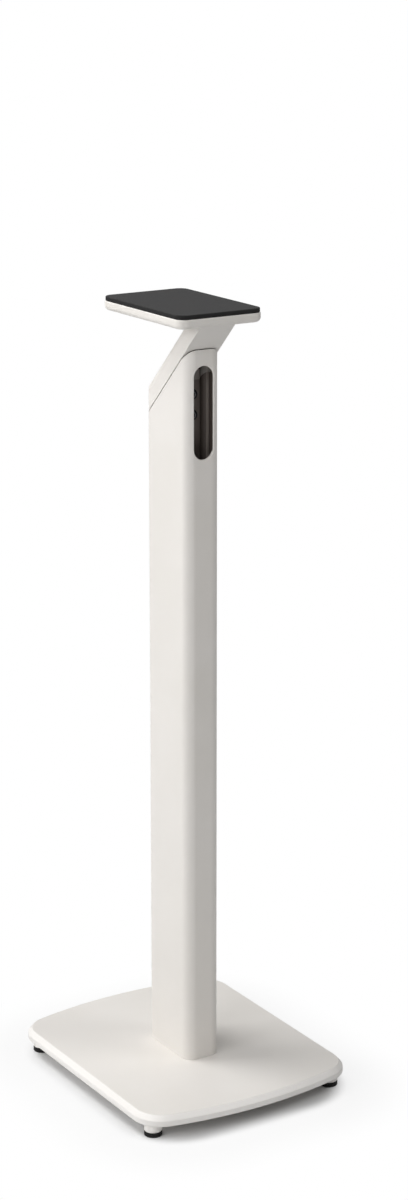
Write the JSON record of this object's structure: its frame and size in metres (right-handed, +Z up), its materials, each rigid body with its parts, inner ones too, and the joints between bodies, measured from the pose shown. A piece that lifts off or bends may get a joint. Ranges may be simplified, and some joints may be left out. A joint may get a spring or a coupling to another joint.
{
  "type": "speaker stand",
  "caption": "Floor stand for a bookshelf loudspeaker: bowed base plate on levelling feet, slotted hollow column with a cable channel, leaning neck and padded top plate.",
  "frame": {"origin": "on the floor, under the centre of the base plate", "axes": "+Z up, -Y towards the front of the stand, +Y towards its rear, where the cable slot is"},
  "size_m": [0.215, 0.259, 0.709],
  "materials": {
    "satin_white_steel": "fine satin powder coat on steel, warm off-white",
    "satin_white_aluminium": "fine satin powder coat on aluminium, warm off-white",
    "black_rubber": "matt black rubber",
    "zinc_steel": "zinc-plated steel",
    "black_steel": "black-oxide steel"
  },
  "bodies": {
    "stand": {"base_plate": "satin_white_steel", "column": "satin_white_aluminium", "neck": "satin_white_aluminium", "top_plate": "satin_white_aluminium", "top_pad": "black_rubber", "neck_bolt_upper": "black_steel", "neck_bolt_lower": "black_steel", "column_bolt_front_left": "zinc_steel", "top_plate_screw_front_left": "zinc_steel", "column_bolt_front_right": "zinc_steel", "top_plate_screw_front_right": "zinc_steel", "column_bolt_rear_left": "zinc_steel", "top_plate_screw_rear_left": "zinc_steel", "column_bolt_rear_right": "zinc_steel", "top_plate_screw_rear_right": "zinc_steel"},
    "foot_pad_front_left": {"foot_pad_front_left": "black_rubber"},
    "foot_front_left": {"foot_body_front_left": "satin_white_steel", "foot_stud_front_left": "zinc_steel"},
    "foot_pad_front_right": {"foot_pad_front_right": "black_rubber"},
    "foot_front_right": {"foot_body_front_right": "satin_white_steel", "foot_stud_front_right": "zinc_steel"},
    "foot_pad_rear_left": {"foot_pad_rear_left": "black_rubber"},
    "foot_rear_left": {"foot_body_rear_left": "satin_white_steel", "foot_stud_rear_left": "zinc_steel"},
    "foot_pad_rear_right": {"foot_pad_rear_right": "black_rubber"},
    "foot_rear_right": {"foot_body_rear_right": "satin_white_steel", "foot_stud_rear_right": "zinc_steel"}
  },
  "joints": [
    {"name": "foot_lift_front_left", "type": "slide", "parent": "stand", "child": "foot_pad_front_left", "axis": [0, 0, -1], "range_m": [0, 0.004]},
    {"name": "foot_turn_front_left", "type": "hinge", "parent": "foot_pad_front_left", "child": "foot_front_left", "pos_m": [-0.0925, -0.1003, 0.009], "axis": [0, 0, -1], "range_deg": [0, 1152]},
    {"name": "foot_lift_front_right", "type": "slide", "parent": "stand", "child": "foot_pad_front_right", "axis": [0, 0, -1], "range_m": [0, 0.004]},
    {"name": "foot_turn_front_right", "type": "hinge", "parent": "foot_pad_front_right", "child": "foot_front_right", "pos_m": [0.0925, -0.1003, 0.009], "axis": [0, 0, -1], "range_deg": [0, 1152]},
    {"name": "foot_lift_rear_left", "type": "slide", "parent": "stand", "child": "foot_pad_rear_left", "axis": [0, 0, -1], "range_m": [0, 0.004]},
    {"name": "foot_turn_rear_left", "type": "hinge", "parent": "foot_pad_rear_left", "child": "foot_rear_left", "pos_m": [-0.0925, 0.1003, 0.009], "axis": [0, 0, -1], "range_deg": [0, 1152]},
    {"name": "foot_lift_rear_right", "type": "slide", "parent": "stand", "child": "foot_pad_rear_right", "axis": [0, 0, -1], "range_m": [0, 0.004]},
    {"name": "foot_turn_rear_right", "type": "hinge", "parent": "foot_pad_rear_right", "child": "foot_rear_right", "pos_m": [0.0925, 0.1003, 0.009], "axis": [0, 0, -1], "range_deg": [0, 1152]}
  ],
  "couplings": [
    {"joint": "foot_turn_front_left", "follows": "foot_lift_front_left", "rad_per_m": 5026.5},
    {"joint": "foot_turn_front_right", "follows": "foot_lift_front_right", "rad_per_m": 5026.5},
    {"joint": "foot_turn_rear_left", "follows": "foot_lift_rear_left", "rad_per_m": 5026.5},
    {"joint": "foot_turn_rear_right", "follows": "foot_lift_rear_right", "rad_per_m": 5026.5}
  ]
}
